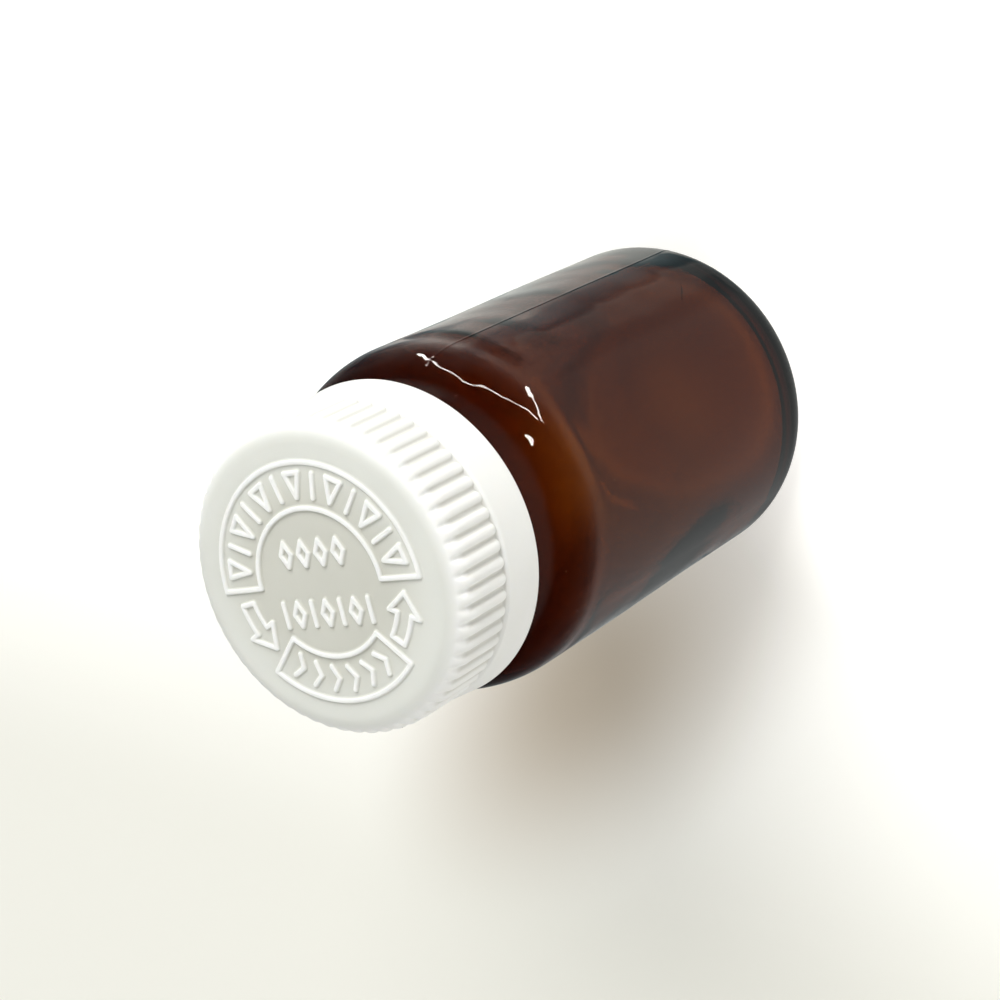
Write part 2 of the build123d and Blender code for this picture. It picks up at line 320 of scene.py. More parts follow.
def seam_angles(count, seams, offsets):
    """Even angles with extra ones close to each mould seam."""
    angles = list(even_angles(count))
    gap = TAU / count
    for seam in seams:
        at = math.radians(seam) % TAU
        angles = [a for a in angles if abs((a - at + math.pi) % TAU - math.pi) > 0.75 * gap]
        angles += [(at + math.radians(o)) % TAU for o in offsets]
    return np.array(sorted(angles))


def outer_wave(angles, z):
    """Slow unevenness of the blown wall, in millimetres."""
    return (
        0.035 * np.sin(3 * angles + z / 11.0 + 0.7)
        + 0.025 * np.sin(5 * angles - z / 7.0 + 2.1)
        + 0.018 * np.sin(9 * angles + z / 5.2 + 4.0)
    )


def inner_wave(angles, z):
    """Unevenness of the wall's thickness, in millimetres."""
    return (
        0.22 * np.sin(2 * angles + 0.6 + z / 40.0)
        + 0.14 * np.sin(3 * angles - 1.3 - z / 19.0)
        + 0.07 * np.sin(5 * angles + z / 9.0)
        + 0.05 * np.sin(z / 4.6 + 2 * angles)
    )


def shoulder_fold(angles, z):
    """Folds inside the shoulder, where the blown glass gathered, in millimetres."""
    window = smooth(z, 59.0, 64.0) * (1 - smooth(z, 67.0, 70.0))
    slant = (z - 65.0) / 7.0
    folds = 0.14 * np.sin(5 * angles + slant + 0.4) + 0.07 * np.sin(11 * angles - 2 * slant + 2.6)
    return window * folds


def seam_ridge(angles):
    """A fine raised line at each mould seam."""
    total = np.zeros_like(angles)
    for seam in (SEAM_DEG, SEAM_DEG + 180):
        off = np.degrees((angles - math.radians(seam) + math.pi) % TAU - math.pi)
        total += np.exp(-((off / SEAM_WIDTH_DEG) ** 2))
    return SEAM_H * total


def bottle_outside(angles):
    """Rings over the outer wall, from the base's centre up to the land."""
    heel_mid = BODY_R - HEEL_R
    shoulder_r = NECK_R + NECK_ROOT_R
    neck_low = BODY_TOP_Z + SHOULDER_RISE + NECK_ROOT_R
    rings = []
    bearing_r = BEARING_IN_R + BEARING_SOFT
    for r in np.linspace(0.8, bearing_r - 0.4, 26):
        z = PUSH_UP * (0.5 + 0.5 * math.cos(math.pi * r / bearing_r))
        rings.append(ring(r, z, angles))
    for r, z in line((bearing_r, 0.0), (heel_mid, 0.0), 14):
        middle = (BEARING_IN_R + heel_mid) / 2 + 0.4
        window = np.exp(-(((r - middle) / 1.3) ** 4))
        ridges = 0.5 + 0.5 * np.cos(STIPPLE_COUNT * angles)
        rings.append(ring(r, z + STIPPLE_H * window * (1 - ridges) ** 2, angles))
    body = chain(
        arc((heel_mid, HEEL_R), HEEL_R, 272, 360, 30),
        line((BODY_R, HEEL_R), (BODY_R, BODY_TOP_Z), 46),
        arc((shoulder_r, BODY_TOP_Z), BODY_R - shoulder_r, 0, 90, 40, SHOULDER_RISE),
        arc((shoulder_r, neck_low), NECK_ROOT_R, 270, 180, 8),
    )
    for r, z in body:
        fade = smooth(z, 1.0, 9.0) * (1 - smooth(z, 70.0, 75.0))
        bumps = outer_wave(angles, z) * fade - WAVE_INSET * fade
        rings.append(ring(r + bumps + seam_ridge(angles) * smooth(z, 0.5, 3.0), z, angles))
    neck_top = LAND_Z - LIP_OUT_ROUND
    for z in np.arange(neck_low + 0.2, neck_top, RING_STEP):
        depth = helix_height(
            angles, z, THREAD_START_Z, 0, THREAD_TURN, *BOTTLE_THREAD_HALVES
        )
        rings.append(ring(NECK_R + THREAD_DEPTH * depth + 0.5 * seam_ridge(angles), z, angles))
    lip = chain(
        arc((NECK_R - LIP_OUT_ROUND, neck_top), LIP_OUT_ROUND, 0, 90, 9),
        line((NECK_R - LIP_OUT_ROUND, LAND_Z), (BORE_R + LIP_IN_ROUND, LAND_Z), 4),
    )
    rings += [ring(r, z, angles) for r, z in lip]
    return rings


def bottle_inside(angles):
    """Rings over the inner wall, from the land down to the floor's centre."""
    bore_r = BORE_R + BORE_ROUND
    inner_top = INNER_BODY_TOP_Z + INNER_SHOULDER_RISE
    heel_r = BODY_INNER_R - HEEL_INNER_R
    heel_z = FLOOR_EDGE_Z + HEEL_INNER_R
    lip_z = LAND_Z - LIP_IN_ROUND
    wall = chain(
        arc((BORE_R + LIP_IN_ROUND, lip_z), LIP_IN_ROUND, 100, 180, 7),
        line((BORE_R, lip_z), (BORE_R, inner_top + BORE_ROUND), 16),
        arc((bore_r, inner_top + BORE_ROUND), BORE_ROUND, 180, 270, 10),
        arc((bore_r, INNER_BODY_TOP_Z), BODY_INNER_R - bore_r, 90, 0, 34, INNER_SHOULDER_RISE),
        line((BODY_INNER_R, INNER_BODY_TOP_Z), (BODY_INNER_R, heel_z), 44),
        arc((heel_r, heel_z), HEEL_INNER_R, 360, 270, 24),
    )
    rings = []
    for r, z in wall:
        fade = smooth(z, 6.0, 14.0) * (1 - smooth(z, 66.0, 76.0))
        lumps = inner_wave(angles, z) * fade + shoulder_fold(angles, z)
        rings.append(ring(r + lumps, z, angles))
    rise = FLOOR_MID_Z - FLOOR_EDGE_Z
    for r in np.linspace(heel_r - 0.8, 0.8, 16):
        z = FLOOR_EDGE_Z + rise * (1 - (r / heel_r) ** 2)
        rings.append(ring(r, z, angles))
    return rings


def make_bottle(material):
    """The whole glass wall as one closed mesh."""
    offsets = [-0.95, -0.7, -0.5, -0.35, -0.2, 0, 0.2, 0.35, 0.5, 0.7, 0.95]
    angles = seam_angles(BOTTLE_SIDES, (SEAM_DEG, SEAM_DEG + 180), offsets)
    rings = bottle_outside(angles) + bottle_inside(angles)
    verts, faces = skin(rings, (0, 0, PUSH_UP), (0, 0, FLOOR_MID_Z))
    return add_mesh("glass_bottle", verts, faces, material)


# ---- Raised marks on the cap's face ------------------------------------------
BAND_OUT_R = 16.1
BAND_IN_R = 10.0
TOP_BAND_DEG = (-0.9, 180.9)
LOW_BAND_DEG = (226.0, 314.0)
ARROW_R = 13.2
ARROW_TAIL_DEG = 189.5
ARROW_TIP_DEG = 219.5
ARROW_HEAD_DEG = 13.0
ARROW_HALF_SHAFT = 1.05
ARROW_HALF_HEAD = 2.35
GLYPH_REACH = 1.625
PUSH_HALF_W = 1.15
TURN_HALF_W = 0.5
DIAMOND_HALF_W = 0.85
ROW_Y = 4.05
TOP_ROW_PITCH = 2.9
LOW_ROW_PITCH = 2.35
END_STEP_DEG = 12.0
STROKE_HALF_W = (0.2, 0.47)  # half widths of a stroke at its crest and at its foot
FAR = 9.0                    # any distance beyond the strokes' reach
PUSH_MARKS = 7
TURN_MARKS = 6


def polar(radius, degrees):
    angle = np.radians(degrees)
    return np.stack([radius * np.cos(angle), radius * np.sin(angle)], -1)


def curve_deg(radius, start, end, count=33):
    return polar(radius, np.linspace(start, end, count))


def placed(shapes, x, y, degrees):
    """Copies of small line shapes, turned and moved to a place on the face."""
    a = math.radians(degrees)
    turn = np.array([[math.cos(a), math.sin(a)], [-math.sin(a), math.cos(a)]])
    return [np.array(points, float) @ turn + (x, y) for points in shapes]


def band_lines(start, end):
    outer = curve_deg(BAND_OUT_R, start, end, 61)
    inner = curve_deg(BAND_IN_R, end, start, 61)
    return [np.concatenate([outer, inner, outer[:1]])]


def arrow_lines(tail, tip):
    neck = tip - ARROW_HEAD_DEG
    outside = curve_deg(ARROW_R + ARROW_HALF_SHAFT, tail, neck, 9)
    inside = curve_deg(ARROW_R - ARROW_HALF_SHAFT, neck, tail, 9)
    head = np.stack([
        polar(ARROW_R + ARROW_HALF_HEAD, neck),
        polar(ARROW_R, tip),
        polar(ARROW_R - ARROW_HALF_HEAD, neck),
    ])
    return [np.concatenate([outside, head, inside, outside[:1]])]


def mark_lines():
    """The centre line of every raised stroke on the face."""
    g = GLYPH_REACH
    bar = [[(0, -g), (0, g)]]
    push = [[(-PUSH_HALF_W, g), (0, -g), (PUSH_HALF_W, g), (-PUSH_HALF_W, g)]]
    turn = [[(-TURN_HALF_W, g), (TURN_HALF_W, 0), (-TURN_HALF_W, -g)]]
    diamond = [[(0, g), (DIAMOND_HALF_W, 0), (0, -g), (-DIAMOND_HALF_W, 0), (0, g)]]
    middle_r = (BAND_OUT_R + BAND_IN_R) / 2
    mirrored = 2 * (270 - (ARROW_TAIL_DEG + ARROW_TIP_DEG) / 2)
    lines = band_lines(*TOP_BAND_DEG) + band_lines(*LOW_BAND_DEG)
    lines += arrow_lines(ARROW_TAIL_DEG, ARROW_TIP_DEG)
    lines += arrow_lines(ARROW_TAIL_DEG + mirrored, ARROW_TIP_DEG + mirrored)
    first, last = TOP_BAND_DEG[0] + END_STEP_DEG, TOP_BAND_DEG[1] - END_STEP_DEG
    for index, angle in enumerate(np.linspace(first, last, 2 * PUSH_MARKS - 1)):
        shape = bar if index % 2 else push
        lines += placed(shape, *polar(middle_r, angle), angle - 90)
    first, last = LOW_BAND_DEG[0] + END_STEP_DEG, LOW_BAND_DEG[1] - END_STEP_DEG
    for angle in np.linspace(first, last, TURN_MARKS):
        lines += placed(turn, *polar(middle_r, angle), angle + 90)
    rows = (
        ([diamond] * 4, TOP_ROW_PITCH, ROW_Y),
        ([bar, diamond, bar, diamond, bar, diamond, bar], LOW_ROW_PITCH, -ROW_Y),
    )
    for shapes, pitch, y in rows:
        for index, shape in enumerate(shapes):
            lines += placed(shape, (index - (len(shapes) - 1) / 2) * pitch, y, 0)
    return lines


def line_distance(points, lines):
    """Distance from each point to the nearest stroke."""
    best = np.full(len(points), FAR)
    for path in lines:
        low, high = path.min(0) - 1.0, path.max(0) + 1.0
        near = np.all((points > low) & (points < high), 1)
        if not near.any():
            continue
        p = points[near]
        reach = best[near]
        for a, b in zip(path[:-1], path[1:]):
            run = b - a
            t = np.clip((p - a) @ run / max(run @ run, 1e-12), 0, 1)
            reach = np.minimum(reach, np.linalg.norm(p - a - t[:, None] * run, axis=1))
        best[near] = reach
    return best


# ---- Outer cap ---------------------------------------------------------------
FINE = 960                   # points round the shell
RIB_END_Z = RIB_LOW_Z + 0.15
LEDGE = 0.85                 # height of the slope under the ribs' ends
RIB_BLEND = 0.07
FACE_DISH = 0.05
SKIRT_EDGE = 0.3
SHELL_CORNER = 1.5
SKIRT_STEP_Z = 1.0
SHELL_BEAD_R = 19.35
SHELL_BEAD_ROUND = 0.4
SHELL_BEAD_Z = 76.95
SHELL_BEAD_TOP_Z = 77.9
LUG_COUNT = 12
LUG_FIRST_DEG = 4.0
LUG_H = 0.9
LUG_HALF_W = 1.3
LUG_RAMP = 1.1
LUG_SOFT = 0.15
LUG_IN_R = 14.4
LUG_OUT_R = 18.4
LUG_LAG_DEG = 2 * math.degrees(math.asin(LUG_HALF_W / LUG_IN_R)) + 0.8


def shell_side_radius(z):
    """The shell's outer radius without its ribs, at a height."""
    flare = SKIRT_TOP_R + (SKIRT_LOW_R - SKIRT_TOP_R) * (RIB_LOW_Z - z) / (RIB_LOW_Z - SKIRT_Z)
    return np.where(z < RIB_LOW_Z, flare, VALLEY_R)


def ribbed_radius(angles, z):
    """Outer radius of the shell at one height, with ribs and their round ends."""
    pitch = TAU / RIB_COUNT
    across = CREST_R * ((angles + pitch / 2) % pitch - pitch / 2)
    end = max(0.0, RIB_END_Z + RIB_R - z)
    reach = np.sqrt(across**2 + end**2)
    rod = CREST_R - RIB_R + np.sqrt(np.clip(RIB_R**2 - reach**2, 0, None))
    rod = np.where(reach < RIB_R, rod, 0)
    flare = float(shell_side_radius(min(z, RIB_LOW_Z - 1e-6)))
    ledge = VALLEY_R + (flare - VALLEY_R) * (1 - smooth(z, RIB_LOW_Z - 0.05, RIB_LOW_Z + LEDGE))
    top = np.maximum(rod, ledge)
    gap = np.clip(1 - np.abs(rod - ledge) / RIB_BLEND, 0, 1)
    return top + 0.25 * RIB_BLEND * gap**2


def shell_outside(marks):
    """Rings over the outside, from the skirt's lower edge to the face's centre."""
    fine = even_angles(FINE)
    rings = []
    for r, z in arc((SKIRT_LOW_R - SKIRT_EDGE, SKIRT_Z + SKIRT_EDGE), SKIRT_EDGE, 270, 360, 6):
        rings.append(ring(r, z, fine))
    for z in np.linspace(SKIRT_Z + 0.6, RIB_LOW_Z - 0.3, 16):
        rings.append(ring(float(shell_side_radius(z)), z, fine))
    for z in np.concatenate([
        np.arange(RIB_LOW_Z - 0.15, RIB_LOW_Z + 1.7, 0.09),
        np.linspace(RIB_LOW_Z + 1.7, FACE_Z - TOP_ROUND, 16),
    ]):
        rings.append(ring(ribbed_radius(fine, z), z, fine))
    centre = CREST_R - TOP_ROUND
    for degrees in np.linspace(3, 90, 30):
        a = math.radians(degrees)
        r = centre + TOP_ROUND * math.cos(a)
        z = FACE_Z - TOP_ROUND + TOP_ROUND * math.sin(a)
        ribs = CREST_R - ribbed_radius(fine, FACE_Z - TOP_ROUND)
        fade = max(0.0, math.cos(a)) ** 1.5 * (1 - smooth(degrees, 30, 58))
        rings.append(ring(r - ribs * fade, z, fine))
    zones = ((centre - 0.12, 9.3, 0.115, 1), (9.3, 4.6, 0.12, 2), (4.6, 2.3, 0.12, 4),
             (2.3, 1.1, 0.12, 8), (1.1, 0.2, 0.13, 16))
    for high, low, step, share in zones:
        angles = even_angles(FINE // share)
        count = int((high - low) / step)
        for r in np.linspace(high, low, count, endpoint=False):
            flat = ring(r, 0, angles)[:, :2]
            reach = line_distance(flat, marks)
            lift = MARK_H * (1 - smooth(reach, *STROKE_HALF_W))
            dish = FACE_DISH * (1 - smooth(r, 0, 18))
            rings.append(ring(r, FACE_Z + lift - dish * (lift < 1e-6), angles))
    return rings


def shell_inside():
    """Rings over the inside, from the underside's centre to the skirt's edge."""
    angles = even_angles(FINE // 4)
    inside_z = FACE_Z - SHELL_TOP_T
    corner_r = SHELL_BORE_R - SHELL_CORNER
    corner_z = inside_z - SHELL_CORNER
    step_z = RIB_LOW_Z - SKIRT_STEP_Z
    bead_mid_r = SHELL_BEAD_R + SHELL_BEAD_ROUND
    wall = chain(
        line((0.5, inside_z), (corner_r, inside_z), 20),
        arc((corner_r, corner_z), SHELL_CORNER, 90, 0, 10),
        line((SHELL_BORE_R, corner_z), (SHELL_BORE_R, RIB_LOW_Z), 8),
        line((SHELL_BORE_R, RIB_LOW_Z), (SHELL_SKIRT_BORE_R, step_z), 4),
        line((SHELL_SKIRT_BORE_R, step_z), (SHELL_SKIRT_BORE_R, SHELL_BEAD_TOP_Z), 6),
        line((SHELL_SKIRT_BORE_R, SHELL_BEAD_TOP_Z), (bead_mid_r - 0.05, SHELL_BEAD_Z + 0.47), 4),
        arc((bead_mid_r, SHELL_BEAD_Z), SHELL_BEAD_ROUND, 110, 250, 9),
        line((bead_mid_r, SHELL_BEAD_Z - 0.45), (SHELL_SKIRT_BORE_R, SKIRT_Z + 0.2), 5),
        line((SHELL_SKIRT_BORE_R + 0.1, SKIRT_Z), (SKIRT_LOW_R - 0.5, SKIRT_Z), 4),
    )
    return [ring(r, z, angles) for r, z in wall]


def lug_block(low_z, up, degrees):
    """One drive lug with rounded edges, as its own closed shell."""
    half, soft = LUG_HALF_W, LUG_SOFT
    ramp_y = half - LUG_RAMP
    side = -1 if up else 1
    sign = 1 if up else -1
    outline = [
        (-side * half, -0.1),
        (side * half, -0.1),
        (side * (ramp_y + soft), LUG_H - soft),
        (side * (ramp_y - soft), LUG_H),
        (-side * (half - soft), LUG_H),
        (-side * half, LUG_H - soft),
    ]
    stations = (
        (LUG_IN_R, 0.12), (LUG_IN_R + soft, 0.0), (LUG_OUT_R - soft, 0.0), (LUG_OUT_R, 0.12),
    )
    verts = []
    for radius, shrink in stations:
        for y, z in outline:
            verts.append((radius, y * (1 - shrink / half), low_z + sign * (z - shrink * (z > 0))))
    count = len(outline)
    faces = []
    for s in range(len(stations) - 1):
        for i in range(count):
            j = (i + 1) % count
            faces.append([s * count + i, s * count + j, (s + 1) * count + j, (s + 1) * count + i])
    faces.append(list(range(count))[::-1])
    faces.append([(len(stations) - 1) * count + i for i in range(count)])
    a = math.radians(degrees)
    verts = np.array(verts)
    turned = verts.copy()
    turned[:, 0] = verts[:, 0] * math.cos(a) - verts[:, 1] * math.sin(a)
    turned[:, 1] = verts[:, 0] * math.sin(a) + verts[:, 1] * math.cos(a)
    return turned, faces


def make_outer_cap(material):
    """The shell: one skin round its wall, with the lugs under its top."""
    rings = shell_inside() + shell_outside(mark_lines())
    inside_z = FACE_Z - SHELL_TOP_T
    body = skin(rings, (0, 0, inside_z), (0, 0, FACE_Z - FACE_DISH))
    parts = [body]
    for index in range(LUG_COUNT):
        angle = LUG_FIRST_DEG - LUG_LAG_DEG + index * 360 / LUG_COUNT
        parts.append(lug_block(inside_z, False, angle))
    verts, faces = join_parts(parts)
    return add_mesh("cap_shell", verts, faces, material)


# ---- Inner cap ---------------------------------------------------------------
PLATE_LOW_Z = 88.55
PLATE_TOP_Z = 89.5
INNER_BORE_R = 18.9
INNER_CAP_ROUND = 0.6
LINER_BEAD_Z = 87.05
LINER_BEAD_R = 18.15
GRIP_COUNT = 72
GRIP_H = 0.06


def make_inner_cap(material):
    """The threaded inner cap with its ratchet lugs."""
    angles = even_angles(240)
    low_z, plate_low, plate_top = INNER_CAP_LOW_Z, PLATE_LOW_Z, PLATE_TOP_Z
    bore_r, bead_z, bead_r = INNER_BORE_R, LINER_BEAD_Z, LINER_BEAD_R
    round_r = INNER_CAP_R - INNER_CAP_ROUND
    rings = []
    for r in np.linspace(0.5, round_r, 14):
        rings.append(ring(r, plate_top, angles))
    for r, z in arc((round_r, plate_top - INNER_CAP_ROUND), INNER_CAP_ROUND, 80, 0, 8):
        rings.append(ring(r, z, angles))
    for z in np.linspace(plate_top - 1.2, low_z + 0.5, 10):
        grip = GRIP_H * np.cos(GRIP_COUNT * angles)
        rings.append(ring(INNER_CAP_R - GRIP_H + grip, z, angles))
    for r, z in chain(
        arc((INNER_CAP_R - 0.25, low_z + 0.25), 0.25, 0, -90, 5),
        line((INNER_CAP_R - 0.25, low_z), (bore_r + 0.2, low_z), 3),
        arc((bore_r + 0.2, low_z + 0.2), 0.2, 270, 180, 4),
    ):
        rings.append(ring(r, z, angles))
    start_z = THREAD_START_Z - PITCH / 2 + PITCH * CAP_THREAD_LAG / 360
    for z in np.arange(low_z + 0.3, bead_z - 0.8, RING_STEP):
        ridge = helix_height(
            angles, z, start_z, CAP_THREAD_LAG, CAP_THREAD_TURN, *CAP_THREAD_HALVES
        )
        rings.append(ring(bore_r - THREAD_DEPTH * ridge, z, angles))
    for r, z in chain(
        line((bore_r, bead_z - 0.7), (bead_r + 0.1, bead_z - 0.2), 5),
        arc((bead_r + 0.2, bead_z), 0.2, 200, 160, 4),
        line((bead_r + 0.1, bead_z + 0.2), (bore_r, bead_z + 0.7), 5),
        line((bore_r, bead_z + 0.8), (bore_r, plate_low - 0.3), 3),
        line((bore_r - 0.3, plate_low), (0.5, plate_low), 12),
    ):
        rings.append(ring(r, z, angles))
    parts = [skin(rings, (0, 0, plate_top), (0, 0, plate_low))]
    for index in range(LUG_COUNT):
        parts.append(lug_block(plate_top, True, LUG_FIRST_DEG + index * 360 / LUG_COUNT))
    verts, faces = join_parts(parts)
    return add_mesh("cap_inner", verts, faces, material)


# ---- Liner -------------------------------------------------------------------
def make_disc(name, low_z, high_z, material, press):
    """A liner disc with soft edges and the ring that the glass lip presses in."""
    angles = even_angles(160)
    edge = min(0.2, (high_z - low_z) * 0.4)
    lip_mid = (NECK_R + BORE_R) / 2
    rings = []
    radii = np.linspace(0.6, LINER_R - edge, 40)
    for r in radii:
        dent = press * math.exp(-(((r - lip_mid) / 1.1) ** 4))
        rings.append(ring(r, low_z + dent, angles))
    for r, z in arc((LINER_R - edge, low_z + edge), edge, -60, 0, 4):
        rings.append(ring(r, z, angles))
    for r, z in arc((LINER_R - edge, high_z - edge), edge, 0, 90, 5):
        rings.append(ring(r, z, angles))
    for r in radii[::-2]:
        rings.append(ring(r, high_z, angles))
    verts, faces = skin(rings, (0, 0, low_z), (0, 0, high_z))
    return add_mesh(name, verts, faces, material)


# ---- Materials ---------------------------------------------------------------
def new_material(name):
    material = bpy.data.materials.new(name)
    material.use_nodes = True
    tree = material.node_tree
    shader = tree.nodes["Principled BSDF"]
    return material, tree, shader


def node(tree, kind, **settings):
    made = tree.nodes.new(kind)
    for key, value in settings.items():
        setattr(made, key, value)
    return made


def noise(tree, scale, detail=2.0, roughness=0.5):
    """Noise in object space; scale is in cells per metre."""
    place = node(tree, "ShaderNodeTexCoord")
    made = node(tree, "ShaderNodeTexNoise")
    made.inputs["Scale"].default_value = scale
    made.inputs["Detail"].default_value = detail
    made.inputs["Roughness"].default_value = roughness
    tree.links.new(place.outputs["Object"], made.inputs["Vector"])
    return made.outputs["Fac"]


def combine(tree, operation, first, second):
    """A sum, product or the like of two values."""
    made = node(tree, "ShaderNodeMath", operation=operation)
    tree.links.new(first, made.inputs[0])
    tree.links.new(second, made.inputs[1])
    return made.outputs[0]


def object_place(tree):
    """The point in object space, and its X, Y and Z."""
    place = node(tree, "ShaderNodeTexCoord").outputs["Object"]
    axes = node(tree, "ShaderNodeSeparateXYZ")
    tree.links.new(place, axes.inputs["Vector"])
    return place, axes.outputs


def length_of(tree, vector):
    made = node(tree, "ShaderNodeVectorMath", operation="LENGTH")
    tree.links.new(vector, made.inputs[0])
    return made.outputs["Value"]


def along(tree, vector, axis):
    """How far a vector reaches along a fixed direction."""
    made = node(tree, "ShaderNodeVectorMath", operation="DOT_PRODUCT")
    made.inputs[1].default_value = axis
    tree.links.new(vector, made.inputs[0])
    return made.outputs["Value"]


def spread(tree, value, low, high, to_low, to_high, curve="LINEAR"):
    """Maps a value from one range to another."""
    made = node(tree, "ShaderNodeMapRange", interpolation_type=curve)
    made.inputs["From Min"].default_value = low
    made.inputs["From Max"].default_value = high
    made.inputs["To Min"].default_value = to_low
    made.inputs["To Max"].default_value = to_high
    tree.links.new(value, made.inputs["Value"])
    return made.outputs["Result"]


def blend_colour(tree, factor, first, second):
    made = node(tree, "ShaderNodeMix", data_type="RGBA")
    tree.links.new(factor, made.inputs["Factor"])
    for socket, colour in (("A", first), ("B", second)):
        target = [s for s in made.inputs if s.name == socket and s.type == "RGBA"][0]
        if isinstance(colour, tuple):
            target.default_value = colour
        else:
            tree.links.new(colour, target)
    return [s for s in made.outputs if s.type == "RGBA"][0]


def bump(tree, height, distance, strength, after=None):
    made = node(tree, "ShaderNodeBump")
    made.inputs["Strength"].default_value = strength
    made.inputs["Distance"].default_value = distance
    tree.links.new(height, made.inputs["Height"])
    if after is not None:
        tree.links.new(after, made.inputs["Normal"])
    return made.outputs["Normal"]


def specks(tree, scale, low, high):
    """Sparse small dots, 1 inside a dot and 0 elsewhere."""
    place = node(tree, "ShaderNodeTexCoord")
    made = node(tree, "ShaderNodeTexVoronoi", feature="F1")
    made.inputs["Scale"].default_value = scale
    tree.links.new(place.outputs["Object"], made.inputs["Vector"])
    return spread(tree, made.outputs["Distance"], low, high, 1.0, 0.0)


AMBER = (0.68, 0.475, 0.0, 1)
AMBER_DENSITY = 1500.0
RIPPLE_H = 0.00006           # metres, fine unevenness of the shoulder
SWELL_H = 0.0008             # metres, slow unevenness of the body's sides


def amber_glass():
    """Clear amber glass, coloured through its thickness."""
    material, tree, shader = new_material("amber_glass")
    shader.inputs["Base Color"].default_value = (1.0, 0.97, 0.94, 1)
    shader.inputs["Transmission Weight"].default_value = 1.0
    shader.inputs["IOR"].default_value = 1.52
    smear = spread(tree, noise(tree, 900, 3), 0.55, 0.8, 0.0, 0.04)
    dust = specks(tree, 420, 0.02, 0.05)
    seldom = spread(tree, noise(tree, 90, 1), 0.56, 0.6, 0.0, 0.6)
    grit = combine(tree, "MULTIPLY", dust, seldom)
    tree.links.new(combine(tree, "MAXIMUM", smear, grit), shader.inputs["Roughness"])
    _, axes = object_place(tree)
    on_shoulder = spread(tree, axes["Z"], 0.063, 0.067, 0.12, 1.0)
    ripple = combine(tree, "MULTIPLY", noise(tree, 420, 1), on_shoulder)
    across = node(tree, "ShaderNodeMath", operation="ABSOLUTE")
    tree.links.new(axes["Y"], across.inputs[0])
    at_edge = spread(tree, across.outputs[0], 0.0165, 0.0215, 0.0, 1.0, "SMOOTHSTEP")
    below = spread(tree, axes["Z"], 0.058, 0.064, 1.0, 0.0, "SMOOTHSTEP")
    where = combine(tree, "MULTIPLY", at_edge, below)
    swell = combine(tree, "MULTIPLY", noise(tree, 75, 1), where)
    fine = bump(tree, ripple, RIPPLE_H, 1.0)
    tree.links.new(bump(tree, swell, SWELL_H, 1.0, fine), shader.inputs["Normal"])
    volume = node(tree, "ShaderNodeVolumeAbsorption")
    volume.inputs["Color"].default_value = AMBER
    volume.inputs["Density"].default_value = AMBER_DENSITY
    out = tree.nodes["Material Output"]
    tree.links.new(volume.outputs["Volume"], out.inputs["Volume"])
    return material


def cap_plastic():
    """Satin white polypropylene with a fine moulded texture, with painted shade on its face and in its rib valleys,
    and a painted highlight on its rounded top edge and the marks' tops.
    """
    material, tree, shader = new_material("cap_shell_plastic")
    shade = spread(tree, noise(tree, 60, 3), 0.3, 0.7, 0.0, 1.0)
    wall = blend_colour(tree, shade, (0.84, 0.84, 0.82, 1), (0.88, 0.88, 0.865, 1))
    # Painted highlight: a lighter copy of the wall's white for the rounded top edge and the marks' tops.
    crown = blend_colour(tree, shade, (0.91, 0.915, 0.895, 1), (0.95, 0.95, 0.935, 1))
    place, axes = object_place(tree)

    def by_height(low, high, to_low, to_high):
        """A value that changes between two heights over the face, in millimetres."""
        low_z, high_z = (FACE_Z + low) * MM, (FACE_Z + high) * MM
        return spread(tree, axes["Z"], low_z, high_z, to_low, to_high)

    colour = blend_colour(tree, by_height(-3.6, -1.6, 0, 1), wall, crown)
    # Painted shade on the face: between the rim and the marks' tops the face takes a darker grey, darkest at its
    # middle and lighter towards its margin, so the marks stand out lighter.
    over_edge = by_height(-0.8, -0.08, 0, 1)
    under_mark = by_height(0.06, 0.3, 1, 0)
    ground = combine(tree, "MULTIPLY", over_edge, under_mark)
    round_axis = node(tree, "ShaderNodeVectorMath", operation="MULTIPLY")
    round_axis.inputs[1].default_value = (1, 1, 0)
    tree.links.new(place, round_axis.inputs[0])
    radius = length_of(tree, round_axis.outputs["Vector"])
    worn = spread(tree, radius, 0.010, 0.0185, 0, 1, "SMOOTHSTEP")
    centre = blend_colour(tree, shade, (0.605, 0.60, 0.54, 1), (0.655, 0.65, 0.59, 1))
    margin = blend_colour(tree, shade, (0.73, 0.735, 0.69, 1), (0.78, 0.785, 0.74, 1))
    dull = blend_colour(tree, worn, centre, margin)
    # Painted shade: the valleys between the ribs, down the cap's side, take a darker grey.
    in_gap = spread(tree, radius, 0.02128, 0.02155, 1, 0, "SMOOTHSTEP")
    gap = combine(tree, "MULTIPLY", in_gap, by_height(-3.0, -2.0, 1, 0))
    colour = blend_colour(tree, gap, colour, (0.73, 0.725, 0.69, 1))
    colour = blend_colour(tree, ground, colour, dull)
    dots = specks(tree, 260, 0.035, 0.06)
    rare = spread(tree, noise(tree, 130, 1), 0.62, 0.64, 0.0, 1.0)
    dirt = combine(tree, "MULTIPLY", dots, rare)
    colour = blend_colour(tree, dirt, colour, (0.16, 0.12, 0.08, 1))
    tree.links.new(colour, shader.inputs["Base Color"])
    rough = spread(tree, noise(tree, 1500, 3), 0.3, 0.7, 0.42, 0.56)
    tree.links.new(rough, shader.inputs["Roughness"])
    shader.inputs["IOR"].default_value = 1.49
    shader.inputs["Subsurface Weight"].default_value = 0.12
    shader.inputs["Subsurface Radius"].default_value = (0.9, 0.8, 0.65)
    shader.inputs["Subsurface Scale"].default_value = 0.0006
    grain = bump(tree, noise(tree, 5200, 2), 0.00004, 0.35)
    sink = bump(tree, noise(tree, 190, 2), 0.00012, 0.3, grain)
    tree.links.new(sink, shader.inputs["Normal"])
    return material


